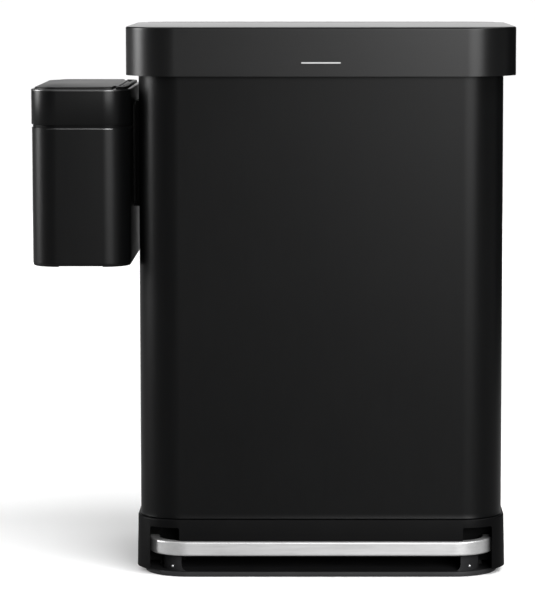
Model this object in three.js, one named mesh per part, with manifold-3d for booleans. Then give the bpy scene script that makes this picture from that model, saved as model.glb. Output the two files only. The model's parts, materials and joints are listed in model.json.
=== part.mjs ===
// Pedal trash can with a small lidded caddy docked on its left side.
// Millimetres, +Z up. Inside this file X runs to the can's right, -Y is the front, and the floor is z = 0,
// with the origin under the middle of the can. The last lines shift the model so that its origin is under
// the middle of the whole assembly.

import * as THREE from 'three';
import { mergeVertices } from 'three/addons/utils/BufferGeometryUtils.js';
import Module from 'manifold-3d';

const wasm = await Module();
wasm.setup();

// Driving dimensions
const gap = 0.3;                    // clearance between pieces that touch
const cornerSteps = 3;              // half the number of facets in each rounded corner

const lidWidth = 460;
const lidDepth = 335;
const lidCorner = 60;
const lidTop = 650;
const lidBottom = 593;
const lidSkin = 2;

const shellWidth = 431;
const shellDepth = 303;
const shellCorner = 49;
const shellBottom = 70;
const shellTop = 606;
const shellWall = 1.5;
const shellFlareHeight = 8;
const shellFlare = 3;

const baseWidth = 437.5;
const baseDepth = 309.5;
const baseCorner = 52;
const baseBottom = 7;
const baseTop = 69.7;
const baseWall = 3;
const baseFlare = 1.2;
const doorwayHalf = 203;            // half width of the opening that the pedal moves in
const doorwayTop = 43.5;
const notchInner = 168;             // the doorway rises higher outside this distance from the middle
const notchTop = 59;

const trayHalfX = 210;
const trayFront = -153;
const trayRear = 148;
const trayCorner = 52;
const trayLipTop = 6;
const toeSpaceHalf = 166;           // half width of the dark recess under the pedal

const hingeY = 132;                 // lid hinge axis
const hingeZ = 642;
const noseRadius = 8;               // rounded rear edge of the lid, concentric with the hinge
const lidAngle = THREE.MathUtils.degToRad(80);
const pinRadius = 2.2;
const hingeX = 150;                 // distance of each hinge block from the middle
const hingeBlockWidth = 22;

const pivotY = -53;                 // pedal axle
const pivotZ = 34;
const axleRadius = 4;
const pedalAngle = THREE.MathUtils.degToRad(10);
const rodY = 112.2;                 // lift rod and damper rod stand in this plane
const rodX = 70;                    // lift rod on the left, damper on the right
const rollerRadius = 7;
const rodLift = (rodY - pivotY) * Math.sin(pedalAngle);
const crankRadius = rodLift / (2 * Math.sin(lidAngle / 2));
const crankPinY = hingeY - crankRadius * Math.cos(lidAngle / 2);
const crankPinZ = hingeZ - crankRadius * Math.sin(lidAngle / 2);
const crankPinRadius = 2.5;

const barFront = -159;              // front face of the pedal bar
const barStraight = 157;            // half length of its straight stretch
const barCorner = 48;
const barEnd = -104;
const barDepth = 12;
const barBottom = 26;
const barTop = 43;
const barSheet = 1.5;

const bucketHalfX = 194;
const bucketFront = -135;
const bucketRear = 92;
const bucketCorner = 34;
const bucketBottom = 73.4;
const bucketWall = 2;
const frameTop = 609.3;

const caddyLeft = -343;
const caddyRight = -225;
const caddyHalfY = 130;
const caddyCorner = 32;
const caddyBottom = 366.8;
const caddyTop = 576;
const caddyLidTop = 579;
const caddyGroove = 537;            // top of the dark groove between sleeve and collar
const caddyWall = 1.5;
const caddyHingeX = -240;
const caddyHingeZ = 573.4;
const caddyNose = 5;
const caddyPinRadius = 1.6;
const caddyPinHalf = 94;
const caddyBarrelHalf = 90;         // half length of the rounded hinge edge of its lid

// Shapes

function roundedOutline(left, right, front, rear, radius) {
  const outline = new THREE.Shape();
  outline.absarc(right - radius, rear - radius, radius, 0, Math.PI / 2, false);
  outline.absarc(left + radius, rear - radius, radius, Math.PI / 2, Math.PI, false);
  outline.absarc(left + radius, front + radius, radius, Math.PI, Math.PI * 1.5, false);
  outline.absarc(right - radius, front + radius, radius, Math.PI * 1.5, Math.PI * 2, false);
  outline.closePath();
  return outline;
}

function centredOutline(width, depth, radius, inset) {
  const halfX = width / 2 - inset;
  const halfY = depth / 2 - inset;
  return roundedOutline(-halfX, halfX, -halfY, halfY, radius - inset);
}

// The U of the pedal bar seen from above, between two depths behind its front face.
function pedalBand(nearDepth, farDepth, endY) {
  const centreY = barFront + barCorner;
  const outer = barCorner - nearDepth;
  const inner = barCorner - farDepth;
  const band = new THREE.Shape();
  band.moveTo(-barStraight - outer, endY);
  band.lineTo(-barStraight - outer, centreY);
  band.absarc(-barStraight, centreY, outer, Math.PI, Math.PI * 1.5, false);
  band.absarc(barStraight, centreY, outer, Math.PI * 1.5, Math.PI * 2, false);
  band.lineTo(barStraight + outer, endY);
  band.lineTo(barStraight + inner, endY);
  band.absarc(barStraight, centreY, inner, Math.PI * 2, Math.PI * 1.5, true);
  band.absarc(-barStraight, centreY, inner, Math.PI * 1.5, Math.PI, true);
  band.lineTo(-barStraight - inner, endY);
  band.closePath();
  return band;
}

function solid(geometry) {
  const bare = geometry.clone();
  bare.deleteAttribute('normal');
  bare.deleteAttribute('uv');
  const merged = mergeVertices(bare, 1e-4);
  return new wasm.Manifold(new wasm.Mesh({
    numProp: 3,
    vertProperties: new Float32Array(merged.attributes.position.array),
    triVerts: new Uint32Array(merged.index.array),
  }));
}

// A plate or block with the given outline between two heights; its edges can be rounded by bevel.
function slab(outline, bottom, top, bevel = 0) {
  const geometry = new THREE.ExtrudeGeometry(outline, {
    depth: top - bottom - 2 * bevel,
    curveSegments: cornerSteps,
    bevelEnabled: bevel > 0,
    bevelThickness: bevel,
    bevelSize: bevel,
    bevelOffset: -bevel,
    bevelSegments: 2,
  });
  geometry.translate(0, 0, bottom + bevel);
  return solid(geometry);
}

// A slab whose outline grows evenly from its top to its bottom, by grow at the bottom.
function flaredSlab(width, depth, radius, inset, bottom, top, grow) {
  const geometry = new THREE.ExtrudeGeometry(centredOutline(width, depth, radius, inset), {
    depth: top - bottom, curveSegments: cornerSteps, bevelEnabled: false,
  });
  geometry.translate(0, 0, bottom);
  const place = geometry.attributes.position;
  const straightX = width / 2 - radius;
  const straightY = depth / 2 - radius;
  for (let i = 0; i < place.count; i += 1) {
    const share = (top - place.getZ(i)) / (top - bottom);
    const outX = Math.max(0, Math.abs(place.getX(i)) - straightX) * Math.sign(place.getX(i));
    const outY = Math.max(0, Math.abs(place.getY(i)) - straightY) * Math.sign(place.getY(i));
    const push = grow * share / Math.hypot(outX, outY);
    place.setX(i, place.getX(i) + outX * push);
    place.setY(i, place.getY(i) + outY * push);
  }
  return solid(geometry);
}

function block(x0, x1, y0, y1, z0, z1) {
  const geometry = new THREE.BoxGeometry(x1 - x0, y1 - y0, z1 - z0);
  geometry.translate((x0 + x1) / 2, (y0 + y1) / 2, (z0 + z1) / 2);
  return solid(geometry);
}

function barAlongX(radius, x0, x1, y, z, sides = 24) {
  const geometry = new THREE.CylinderGeometry(radius, radius, x1 - x0, sides);
  geometry.rotateZ(Math.PI / 2);
  geometry.translate((x0 + x1) / 2, y, z);
  return solid(geometry);
}

function barAlongY(radius, x, y0, y1, z, sides = 24) {
  const geometry = new THREE.CylinderGeometry(radius, radius, y1 - y0, sides);
  geometry.translate(x, (y0 + y1) / 2, z);
  return solid(geometry);
}

function barAlongZ(radius, x, y, z0, z1, sides = 24) {
  const geometry = new THREE.CylinderGeometry(radius, radius, z1 - z0, sides);
  geometry.rotateX(Math.PI / 2);
  geometry.translate(x, y, (z0 + z1) / 2);
  return solid(geometry);
}

function cut(piece, ...tools) {
  return tools.reduce((rest, tool) => rest.subtract(tool), piece);
}

function join(piece, ...others) {
  return others.reduce((whole, other) => whole.add(other), piece);
}

const model = new THREE.Group();

function piece(name, shape, colour, roughness, metalness) {
  const mesh = shape.getMesh();
  const geometry = new THREE.BufferGeometry();
  geometry.setAttribute('position', new THREE.BufferAttribute(new Float32Array(mesh.vertProperties), 3));
  geometry.setIndex(new THREE.BufferAttribute(new Uint32Array(mesh.triVerts), 1));
  geometry.computeVertexNormals();
  const material = new THREE.MeshStandardMaterial({ color: colour, roughness, metalness });
  const part = new THREE.Mesh(geometry, material);
  part.name = name;
  model.add(part);
}

const blackSteel = [0x18191a, 0.38, 0.6];
const blackPlastic = [0x121213, 0.6, 0];
const brushedSteel = [0xc9cbcc, 0.3, 1];
const plainSteel = [0x8e9092, 0.35, 1];
const greyPlastic = [0x3a3c3e, 0.6, 0];
const rubber = [0x0c0c0c, 0.9, 0];

// Can body

function outerShell() {
  const flareTop = shellBottom + shellFlareHeight;
  const outside = flaredSlab(shellWidth, shellDepth, shellCorner, 0, shellBottom, flareTop, shellFlare);
  const inside = flaredSlab(shellWidth, shellDepth, shellCorner, shellWall, shellBottom, flareTop, shellFlare);
  const upperOutside = slab(centredOutline(shellWidth, shellDepth, shellCorner, 0), flareTop, shellTop);
  const upperInside = slab(centredOutline(shellWidth, shellDepth, shellCorner, shellWall), flareTop, shellTop);
  return cut(join(outside, upperOutside), join(inside, upperInside));
}

function bucketOutline(grow) {
  return roundedOutline(-bucketHalfX - grow, bucketHalfX + grow, bucketFront - grow, bucketRear + grow,
    bucketCorner + grow);
}

function topFrame() {
  const skirtBottom = 585;
  const inset = shellWall + gap;
  const collar = slab(centredOutline(shellWidth, shellDepth, shellCorner, inset), skirtBottom, frameTop - 1);
  const flange = slab(centredOutline(shellWidth, shellDepth, shellCorner, 0), shellTop + gap, frameTop, 1);
  const ring = cut(join(collar, flange), slab(bucketOutline(3), skirtBottom - 1, frameTop + 1));
  const wall = 2.5;
  const under = cut(
    slab(centredOutline(shellWidth, shellDepth, shellCorner, inset + wall), skirtBottom - 1, shellTop + gap),
    slab(bucketOutline(3 + wall), skirtBottom - 2, shellTop + 1));
  const slots = [-rodX, rodX].map((x) => block(x - 12, x + 12, rodY - 13, rodY + 13, skirtBottom, frameTop + 1));
  return cut(ring, under, ...slots);
}

function baseSkirt() {
  const outside = flaredSlab(baseWidth, baseDepth, baseCorner, 0, baseBottom, baseTop, baseFlare);
  const inside = flaredSlab(baseWidth, baseDepth, baseCorner, baseWall, baseBottom - 1, baseTop - baseWall,
    baseFlare);
  const ledge = 14;
  const hole = slab(centredOutline(baseWidth, baseDepth, baseCorner, baseWall + ledge), baseTop - 4, baseTop + 1);
  const frontReach = baseDepth / 2 + 10;
  const door = block(-doorwayHalf, doorwayHalf, -frontReach, -110, 0, doorwayTop);
  const notches = [-1, 1].map((side) => {
    const near = Math.min(side * notchInner, side * doorwayHalf);
    const far = Math.max(side * notchInner, side * doorwayHalf);
    return block(near, far, -frontReach, -110, doorwayTop - 1, notchTop);
  });
  return cut(outside, inside, hole, door, ...notches);
}

function bottomTray() {
  const outline = (inset) => roundedOutline(-trayHalfX + inset, trayHalfX - inset, trayFront + inset,
    trayRear - inset, trayCorner - inset);
  const lip = slab(outline(0), 0.8, trayLipTop);
  const dish = slab(outline(2.5), 4.8, trayLipTop + 1);
  const under = slab(outline(2.5), 0, 1.8);
  const behindBar = 16.5;
  const cornerWalls = cut(slab(pedalBand(behindBar, behindBar + 3.5, barEnd + 4), 4, 23),
    block(-toeSpaceHalf, toeSpaceHalf, -200, 0, 0, 30));
  return join(cut(lip, dish, under), cornerWalls);
}

function innerFloor() {
  const plate = slab(centredOutline(shellWidth, shellDepth, shellCorner, 4), baseTop + 0.6, 72.8);
  const rodHole = block(-rodX - 15, -rodX + 15, rodY - 16, rodY + 16, 60, 80);
  return cut(plate, rodHole);
}

function axleBracket(side) {
  const near = Math.min(side * 168, side * 193);
  const far = Math.max(side * 168, side * 193);
  const body = block(near, far, -98, -30, 4.8 + gap, pivotZ + 10);
  return cut(body, barAlongX(axleRadius + gap, near - 5, far + 5, pivotY, pivotZ));
}

function rearChannel() {
  const half = 105;
  const front = 97;
  const rear = 149;
  const outside = block(-half, half, front, rear, 73.4, 584);
  const inside = block(-half + 2, half - 2, front + 2, rear + 1, 72, 590);
  return cut(outside, inside);
}

function rodGuide(z) {
  const body = block(-rodX - 11, -rodX + 11, 99.3, rodY + 9, z, z + 12);
  return cut(body, block(-rodX - 5.6, -rodX + 5.6, rodY - 3.6, rodY + 3.6, z - 1, z + 13));
}

function hingeHousing() {
  const front = hingeY + noseRadius + 1;
  const wall = 2;
  const outside = cut(slab(centredOutline(lidWidth, lidDepth, lidCorner, 0), lidBottom, lidTop, 1.5),
    block(-300, 300, -300, front, 500, 700));
  const cavity = cut(slab(centredOutline(lidWidth, lidDepth, lidCorner, wall), lidBottom - 1, lidTop - wall),
    block(-300, 300, -300, front + wall, 500, 700));
  const shellRoom = slab(centredOutline(shellWidth, shellDepth, shellCorner, -1), lidBottom - 1, frameTop + gap);
  return cut(outside, cavity, shellRoom);
}

function hingeBlock(x) {
  const x0 = x - hingeBlockWidth / 2;
  const x1 = x + hingeBlockWidth / 2;
  const column = block(x0, x1, hingeY - 5, hingeY + 5, frameTop + gap, hingeZ - 2);
  const foot = block(x0, x1, hingeY - 18, hingeY + 5, frameTop + gap, frameTop + 4);
  const eye = barAlongX(5.4, x0, x1, hingeY, hingeZ);
  return cut(join(column, foot, eye), barAlongX(pinRadius + gap, x0 - 1, x1 + 1, hingeY, hingeZ));
}

function innerBucket() {
  const rim = slab(bucketOutline(6), frameTop + gap, 612);
  const outside = slab(bucketOutline(0), bucketBottom, 611);
  const inside = slab(bucketOutline(-bucketWall), bucketBottom + bucketWall, 613);
  return cut(join(outside, rim), inside);
}

function linerRim() {
  return cut(slab(bucketOutline(5), 612 + gap, 616, 0.8), slab(bucketOutline(-3), 611, 617));
}

function rodWithHead(x, z0, barShape) {
  const head = block(x - 6, x + 6, rodY - 9.6, rodY + 9.6, crankPinZ - 8, crankPinZ + 8);
  const slot = block(x - 7, x + 7, rodY - 5.8, rodY + 5.8, crankPinZ - 3.5, crankPinZ + 3.5);
  return cut(join(barShape(z0, crankPinZ - 7), head), slot);
}

function liftRod() {
  return rodWithHead(-rodX, pivotZ + rollerRadius + 0.6 + 5 + gap,
    (z0, z1) => block(-rodX - 5, -rodX + 5, rodY - 3, rodY + 3, z0, z1));
}

function damperRod() {
  return rodWithHead(rodX, 470, (z0, z1) => barAlongZ(4, rodX, rodY, z0, z1, 16));
}

function damperCylinder() {
  return cut(barAlongZ(10, rodX, rodY, 400, 572), barAlongZ(4.4, rodX, rodY, 430, 573, 16));
}

function dockBracket() {
  const plate = block(-221.2, -shellWidth / 2 - gap, -60, 60, 434, 560);
  const ledge = block(-224.6, -shellWidth / 2 - gap, -60, 60, 434, 438);
  const seats = [-34, 34].map((y) => barAlongX(12.3, -223, -218, y, 510));
  return cut(join(plate, ledge), ...seats);
}

// Lid body

function lidRegion() {
  const front = block(-300, 300, -300, hingeY, 500, 700);
  const lower = block(-300, 300, -300, hingeY + noseRadius, 500, hingeZ);
  const nose = barAlongX(noseRadius, -300, 300, hingeY, hingeZ, 48);
  return join(front, lower, nose);
}

function lidOuter() {
  const outside = slab(centredOutline(lidWidth, lidDepth, lidCorner, 0), lidBottom, lidTop, 1.5);
  const inside = slab(centredOutline(lidWidth, lidDepth, lidCorner, lidSkin), lidBottom - 1, lidTop - lidSkin);
  return cut(outside, inside).intersect(lidRegion());
}

function lidLiner() {
  const inset = lidSkin + gap;
  const wall = 2;
  const panFloor = 624;
  const panRear = 82;
  const plateBottom = 645.2;
  const top = lidTop - inset;
  const outline = (extra) => centredOutline(lidWidth, lidDepth, lidCorner, inset + extra);
  const rearRoom = block(-300, 300, panRear, 300, 500, 700);
  const frontRoom = block(-300, 300, -300, panRear - wall, 500, 700);
  const below = slab(outline(wall), lidBottom, panFloor).subtract(rearRoom);
  const belowRear = slab(outline(wall), lidBottom, plateBottom).intersect(rearRoom);
  const above = slab(outline(wall), panFloor + wall, lidTop).intersect(frontRoom);
  const envelope = slab(outline(0), lidBottom + 3, top);
  const shell = cut(envelope, below, belowRear, above).intersect(lidRegion());
  const barrel = barAlongX(noseRadius, -224, 224, hingeY, hingeZ, 48).intersect(envelope);
  const cuts = [block(-300, 300, hingeY - 6, 300, 500, hingeZ - noseRadius - 1)];
  for (const x of [-hingeX, hingeX]) {
    const half = hingeBlockWidth / 2 + 2;
    cuts.push(block(x - half, x + half, hingeY - 9, hingeY + 20, 600, 700));
    cuts.push(barAlongX(pinRadius + gap, x - 24, x + 24, hingeY, hingeZ));
  }
  return cut(join(shell, barrel), ...cuts);
}

function crankPlate(x0, x1) {
  const outline = new THREE.Shape();
  const plateBottom = 645.2 - gap;
  const boss = 6;
  outline.moveTo(crankPinY - 26, plateBottom);
  outline.lineTo(crankPinY - boss, crankPinZ);
  outline.absarc(crankPinY, crankPinZ, boss, Math.PI, Math.PI * 2, false);
  outline.lineTo(crankPinY + boss, plateBottom);
  outline.closePath();
  const geometry = new THREE.ExtrudeGeometry(outline, {
    depth: x1 - x0, curveSegments: 6, bevelEnabled: false,
  });
  geometry.rotateX(Math.PI / 2);
  geometry.rotateZ(Math.PI / 2);
  geometry.translate(x0, 0, 0);
  return cut(solid(geometry), barAlongX(crankPinRadius + gap, x0 - 1, x1 + 1, crankPinY, crankPinZ));
}

function crankPin(x0, x1) {
  return join(barAlongX(crankPinRadius, x0, x1, crankPinY, crankPinZ),
    barAlongX(4.5, x0 - 2, x0 + 0.01, crankPinY, crankPinZ));
}

// Pedal body

function pedalBar() {
  const outside = slab(pedalBand(0, barDepth, barEnd), barBottom, barTop, 1.2);
  const inside = slab(pedalBand(barSheet, barDepth + 3, barEnd + 5), barBottom + barSheet, barTop - barSheet);
  return cut(outside, inside);
}

function pedalCore() {
  return slab(pedalBand(barSheet + gap, barDepth - 0.5, barEnd - 1), barBottom + barSheet + gap,
    barTop - barSheet - gap);
}

function pedalArm(x) {
  return block(x - 3, x + 3, barFront + barDepth + gap, pivotY - 13 - gap, 28, 40);
}

function pedalBeam() {
  return cut(block(-150, 150, pivotY - 13, pivotY + 13, pivotZ - 8, pivotZ + 8),
    barAlongX(axleRadius + gap, -151, 151, pivotY, pivotZ));
}

function pedalRearArm() {
  const arm = block(-rodX - 9, -rodX + 9, pivotY + 13 + gap, rodY + 5, pivotZ - 5, pivotZ + 5);
  const fork = block(-rodX - 5, -rodX + 5, rodY - 10, rodY + 10, 20, 50);
  return cut(arm, fork, barAlongX(2.3, -rodX - 10, -rodX + 10, rodY, pivotZ));
}

function pedalRoller() {
  return cut(barAlongX(rollerRadius, -rodX - 4.6, -rodX + 4.6, rodY, pivotZ),
    barAlongX(2.3, -rodX - 6, -rodX + 6, rodY, pivotZ));
}

// Caddy

function caddyOutline(inset) {
  return roundedOutline(caddyLeft + inset, caddyRight - inset, -caddyHalfY + inset, caddyHalfY - inset,
    caddyCorner - inset);
}

function caddyShell() {
  const bottom = caddyBottom + 3 + gap;
  const top = caddyGroove - 3.5;
  return cut(slab(caddyOutline(0.6), bottom, top, 0.6), slab(caddyOutline(0.6 + caddyWall), bottom - 1, top + 1));
}

function caddyBase() {
  const plate = slab(caddyOutline(1), caddyBottom, caddyBottom + 3);
  const plug = slab(caddyOutline(0.6 + caddyWall + gap), caddyBottom + 2, caddyBottom + 9);
  const hollow = slab(caddyOutline(0.6 + caddyWall + gap + 2), caddyBottom + 3, caddyBottom + 10);
  const notch = block(-309, -257, -140, 140, caddyBottom - 1, caddyBottom + 1);
  return cut(join(plate, plug), hollow, notch);
}

function caddyLidRoom(margin) {
  const half = caddyBarrelHalf + margin;
  const front = block(-400, caddyHingeX - 6 + margin, -200, 200, 540, 600);
  const band = block(caddyHingeX - 10, caddyHingeX, -half, half, 540, 600);
  const nose = barAlongY(caddyNose + margin, caddyHingeX, -half, half, caddyHingeZ, 32);
  const below = block(caddyHingeX - 1, caddyHingeX + caddyNose + margin, -half, half, 540, caddyHingeZ);
  return join(front, band, nose, below);
}

// The fixed deck behind the small lid, level with it, set back far enough for the lid to swing
function caddyDeck() {
  const half = caddyBarrelHalf + 1;
  const deck = slab(caddyOutline(4), caddyTop - 0.5, caddyLidTop, 1);
  const room = join(block(-400, caddyHingeX + 6, -half, half, 560, 600),
    block(-400, caddyHingeX - 1.6, -200, 200, 560, 600));
  return cut(deck, room);
}

function caddyHingeBore(half) {
  return barAlongY(caddyPinRadius + 0.4, caddyHingeX, -half, half, caddyHingeZ, 16);
}

function caddyCollar() {
  const upper = slab(caddyOutline(0), caddyGroove, caddyTop, 0.8);
  const neck = slab(caddyOutline(3), caddyGroove - 3.2, caddyGroove + 2);
  const sleeve = slab(caddyOutline(0.6 + caddyWall + gap), caddyGroove - 12, caddyGroove);
  const mouth = slab(caddyOutline(6), caddyGroove - 20, 568);
  const seat = slab(caddyOutline(3), 568, caddyTop + 1).intersect(caddyLidRoom(1));
  return join(cut(join(upper, neck, sleeve), mouth, seat, caddyHingeBore(caddyPinHalf + gap)), caddyDeck());
}

function caddyBucket() {
  const outline = (inset) => roundedOutline(caddyLeft + 8 + inset, caddyRight - 21 - inset, -caddyHalfY + 8 + inset,
    caddyHalfY - 8 - inset, caddyCorner - 8 - inset);
  return cut(slab(outline(0), caddyBottom + 10, 564), slab(outline(1.8), caddyBottom + 11.8, 565));
}

function caddyBackPlate() {
  return block(caddyRight + gap, -221.2 - gap, -62, 62, 438.4, 556);
}

function caddyLid() {
  const thick = 4;
  const panel = slab(caddyOutline(4), caddyTop - 1.5, caddyLidTop, 1);
  const rim = cut(slab(caddyOutline(4), 569, caddyTop), slab(caddyOutline(4 + thick / 2), 568, caddyTop - 1));
  const plate = slab(caddyOutline(4), caddyTop - 3, caddyTop);
  const nose = barAlongY(caddyNose, caddyHingeX, -caddyBarrelHalf, caddyBarrelHalf, caddyHingeZ, 32);
  const tabStep = block(caddyLeft, caddyLeft + 15, -24, 24, caddyTop + 0.6, 590);
  const body = join(panel, rim, plate).intersect(caddyLidRoom(0));
  return cut(join(body, nose), tabStep, caddyHingeBore(caddyHalfY));
}

piece('outer_shell', outerShell(), ...blackSteel);
piece('top_frame', topFrame(), ...blackPlastic);
piece('base_skirt', baseSkirt(), ...blackPlastic);
piece('bottom_tray', bottomTray(), ...blackPlastic);
piece('inner_floor', innerFloor(), ...blackPlastic);
for (const [row, y] of [['front', -118], ['rear', 114]]) {
  for (const [side, x] of [['left', -165], ['right', 165]]) {
    piece(`foot_${row}_${side}`, barAlongZ(10, x, y, 0, 1.8 - gap), ...rubber);
  }
}
piece('axle_bracket_left', axleBracket(-1), ...blackPlastic);
piece('axle_bracket_right', axleBracket(1), ...blackPlastic);
piece('pedal_axle', barAlongX(axleRadius, -194, 194, pivotY, pivotZ), ...plainSteel);
piece('rear_channel', rearChannel(), ...blackPlastic);
piece('rod_guide_lower', rodGuide(200), ...greyPlastic);
piece('rod_guide_upper', rodGuide(480), ...greyPlastic);
piece('hinge_housing', hingeHousing(), ...blackPlastic);
for (const [side, x] of [['left', -hingeX], ['right', hingeX]]) {
  piece(`hinge_block_${side}`, hingeBlock(x), ...plainSteel);
  piece(`hinge_pin_${side}`, barAlongX(pinRadius, x - 22, x + 22, hingeY, hingeZ, 16), ...plainSteel);
}
piece('inner_bucket', innerBucket(), ...greyPlastic);
piece('liner_rim', linerRim(), ...plainSteel);
piece('damper_cylinder', damperCylinder(), ...plainSteel);
piece('dock_bracket', dockBracket(), ...blackPlastic);
piece('dock_magnet_front', barAlongX(12, -221, -218 - gap, -34, 510), ...plainSteel);
piece('dock_magnet_rear', barAlongX(12, -221, -218 - gap, 34, 510), ...plainSteel);

piece('lid_outer', lidOuter(), ...blackSteel);
piece('lid_liner', lidLiner(), ...blackPlastic);
piece('crank_plate_left', crankPlate(-rodX - 12, -rodX - 8), ...plainSteel);
piece('crank_plate_right', crankPlate(rodX - 12, rodX - 8), ...plainSteel);
piece('crank_pin_left', crankPin(-rodX - 12 - gap, -rodX + 8), ...plainSteel);
piece('crank_pin_right', crankPin(rodX - 12 - gap, rodX + 8), ...plainSteel);
for (const [side, x] of [['left', -120], ['right', 120]]) {
  piece(`lid_bumper_${side}`, barAlongZ(4, x, bucketFront - 1, 616 + gap, 624 - gap, 16), ...rubber);
}

piece('pedal_bar', pedalBar(), ...brushedSteel);
piece('pedal_core', pedalCore(), ...blackPlastic);
piece('pedal_arm_left', pedalArm(-118), ...plainSteel);
piece('pedal_arm_right', pedalArm(118), ...plainSteel);
piece('pedal_beam', pedalBeam(), ...blackPlastic);
piece('pedal_rear_arm', pedalRearArm(), ...plainSteel);
piece('pedal_roller', pedalRoller(), ...greyPlastic);
piece('roller_pin', barAlongX(2, -rodX - 8.6, -rodX + 8.6, rodY, pivotZ, 16), ...plainSteel);

piece('lift_rod', liftRod(), ...plainSteel);
piece('rod_foot', block(-rodX - 9, -rodX + 9, rodY - 10, rodY + 10, pivotZ + rollerRadius + 0.6,
  pivotZ + rollerRadius + 5.6), ...greyPlastic);
piece('damper_rod', damperRod(), ...plainSteel);

piece('caddy_shell', caddyShell(), ...blackSteel);
piece('caddy_base', caddyBase(), ...blackPlastic);
piece('caddy_collar', caddyCollar(), ...blackSteel);
piece('caddy_bucket', caddyBucket(), ...greyPlastic);
piece('caddy_back_plate', caddyBackPlate(), ...blackPlastic);
piece('caddy_lid', caddyLid(), ...blackPlastic);
piece('caddy_hinge_pin', barAlongY(caddyPinRadius, caddyHingeX, -caddyPinHalf, caddyPinHalf, caddyHingeZ, 16),
  ...plainSteel);

const object = new THREE.Group();
object.add(model);
model.position.x = -(caddyLeft + lidWidth / 2) / 2;
export default object;
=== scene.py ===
import json
import math
import bmesh
import bpy
from mathutils import Matrix, Vector


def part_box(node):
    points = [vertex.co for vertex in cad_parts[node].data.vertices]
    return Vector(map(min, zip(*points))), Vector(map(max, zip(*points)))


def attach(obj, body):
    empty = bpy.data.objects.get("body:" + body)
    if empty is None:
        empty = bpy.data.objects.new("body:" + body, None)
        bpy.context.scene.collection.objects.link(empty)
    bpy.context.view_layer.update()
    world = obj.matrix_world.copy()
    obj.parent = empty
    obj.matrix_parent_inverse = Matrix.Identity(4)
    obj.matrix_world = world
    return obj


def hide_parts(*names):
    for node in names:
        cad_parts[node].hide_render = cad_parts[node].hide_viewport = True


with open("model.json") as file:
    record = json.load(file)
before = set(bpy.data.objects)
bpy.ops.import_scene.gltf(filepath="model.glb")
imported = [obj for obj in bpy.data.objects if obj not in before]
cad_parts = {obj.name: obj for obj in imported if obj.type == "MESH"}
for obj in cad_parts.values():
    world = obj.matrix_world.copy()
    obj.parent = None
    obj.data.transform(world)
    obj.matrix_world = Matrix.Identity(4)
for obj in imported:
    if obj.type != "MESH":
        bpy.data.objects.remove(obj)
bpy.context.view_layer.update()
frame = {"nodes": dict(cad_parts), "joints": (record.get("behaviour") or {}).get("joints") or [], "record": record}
scene = bpy.context.scene


# ---------------------------------------------------------------- camera
# A long lens a few metres in front of the can, a little above its lid and tipped slightly down.
# The lens shift assumes a frame of 535 by 600, so that the can stands right of its middle.
lid_low, lid_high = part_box("lid_outer")
can_x = (lid_low.x + lid_high.x) / 2
base_low, base_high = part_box("base_skirt")
camera_distance = 3.70
camera_height = 0.730
camera_tip = math.radians(6.16)
lens = bpy.data.cameras.new("camera")
lens.sensor_width = 36
lens.lens = 190.2
lens.shift_x = -0.08917
lens.clip_end = 200
camera = bpy.data.objects.new("camera", lens)
camera.location = (can_x, base_low.y - camera_distance, camera_height)
camera.rotation_euler = (math.pi / 2 - camera_tip, 0, 0)
scene.collection.objects.link(camera)
scene.camera = camera
scene.view_settings.view_transform = "Standard"


# ---------------------------------------------------------------- studio
# A pale floor under wide, soft light from overhead, a large softbox in front on the right, one level with
# the can on the left, and a low wide panel behind that the flat tops reflect. The floor looks white to
# the camera and lights the rest as a mid grey. A black flag behind on the right keeps that edge dark.
def new_finish(name):
    """A node material with its Principled shader, and the object's own coordinates."""
    finish = bpy.data.materials.new(name)
    finish.use_nodes = True
    tree = finish.node_tree
    shader = tree.nodes["Principled BSDF"]
    coords = tree.nodes.new("ShaderNodeTexCoord")
    return finish, tree, shader, coords.outputs["Object"]


def floor_finish():
    """White to the camera, mid grey to everything else."""
    finish, tree, shader, _ = new_finish("studio_floor")
    tree.nodes.remove(shader)
    pale = tree.nodes.new("ShaderNodeBsdfDiffuse")
    pale.inputs["Color"].default_value = (0.93, 0.93, 0.93, 1)
    grey = tree.nodes.new("ShaderNodeBsdfDiffuse")
    grey.inputs["Color"].default_value = (0.32, 0.32, 0.32, 1)
    seen = tree.nodes.new("ShaderNodeLightPath")
    mix = tree.nodes.new("ShaderNodeMixShader")
    tree.links.new(seen.outputs["Is Camera Ray"], mix.inputs["Fac"])
    tree.links.new(grey.outputs["BSDF"], mix.inputs[1])
    tree.links.new(pale.outputs["BSDF"], mix.inputs[2])
    tree.links.new(mix.outputs["Shader"], tree.nodes["Material Output"].inputs["Surface"])
    return finish


def stage_piece(form, name, finish):
    """Makes a studio object from a form; it is attached to no body."""
    mesh = bpy.data.meshes.new(name)
    form.to_mesh(mesh)
    form.free()
    mesh.materials.append(finish)
    made = bpy.data.objects.new(name, mesh)
    scene.collection.objects.link(made)
    return made


floor_radius = 90
floor_form = bmesh.new()
bmesh.ops.create_circle(floor_form, segments=64, radius=floor_radius, cap_ends=True)
stage_piece(floor_form, "studio_floor", floor_finish())

dome = bpy.data.worlds.new("dome")
scene.world = dome
dome.use_nodes = True
dome.node_tree.nodes["Background"].inputs["Color"].default_value = (1, 1, 1, 1)
dome.node_tree.nodes["Background"].inputs["Strength"].default_value = 0.06


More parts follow.
